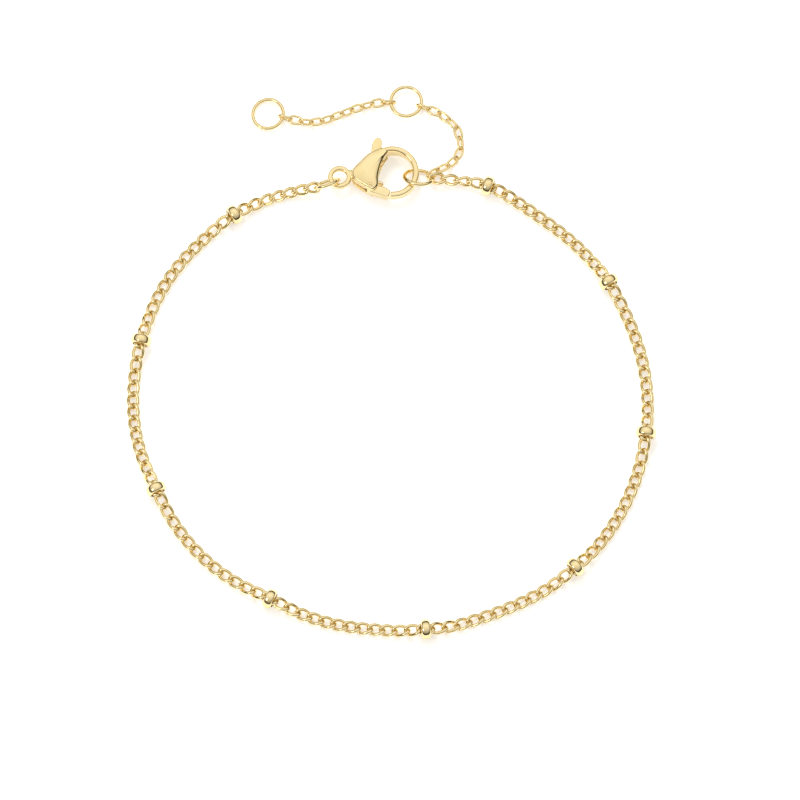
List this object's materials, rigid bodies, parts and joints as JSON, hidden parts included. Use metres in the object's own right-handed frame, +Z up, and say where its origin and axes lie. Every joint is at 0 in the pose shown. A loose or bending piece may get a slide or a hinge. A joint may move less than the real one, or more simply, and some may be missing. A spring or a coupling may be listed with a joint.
{
  "type": "chain bracelet",
  "caption": "Fine curb chain bracelet with ring beads spaced along it, a sprung lobster clasp on jump rings, and a short cable extension chain.",
  "frame": {"origin": "middle of the bounding box's base: the surface that the bracelet lies on is z = 0", "axes": "+Z up from the surface, +Y from the middle of the loop towards the clasp, +X along the clasp from its eye to its hook"},
  "size_m": [0.0592, 0.0654, 0.0029],
  "materials": {
    "polished_gold": "polished pale gold plating"
  },
  "bodies": {
    "bracelet": {"chain_left": "polished_gold", "chain_right": "polished_gold", "bead_1": "polished_gold", "bead_2": "polished_gold", "bead_3": "polished_gold", "bead_4": "polished_gold", "bead_5": "polished_gold", "bead_6": "polished_gold", "bead_7": "polished_gold", "bead_8": "polished_gold", "bead_9": "polished_gold", "clasp_body": "polished_gold", "clasp_ring": "polished_gold", "junction_ring": "polished_gold", "middle_ring": "polished_gold", "end_ring": "polished_gold", "extension_inner": "polished_gold", "extension_outer": "polished_gold"},
    "lever": {"clasp_lever": "polished_gold"}
  },
  "joints": [
    {"name": "lever_pivot", "type": "hinge", "parent": "bracelet", "child": "lever", "pos_m": [-0.00237, 0.02017, 0.00133], "axis": [0, 0, 1], "range_deg": [0, 22], "stiffness_Nm_per_rad": 0.002, "springref_deg": -11.46}
  ]
}
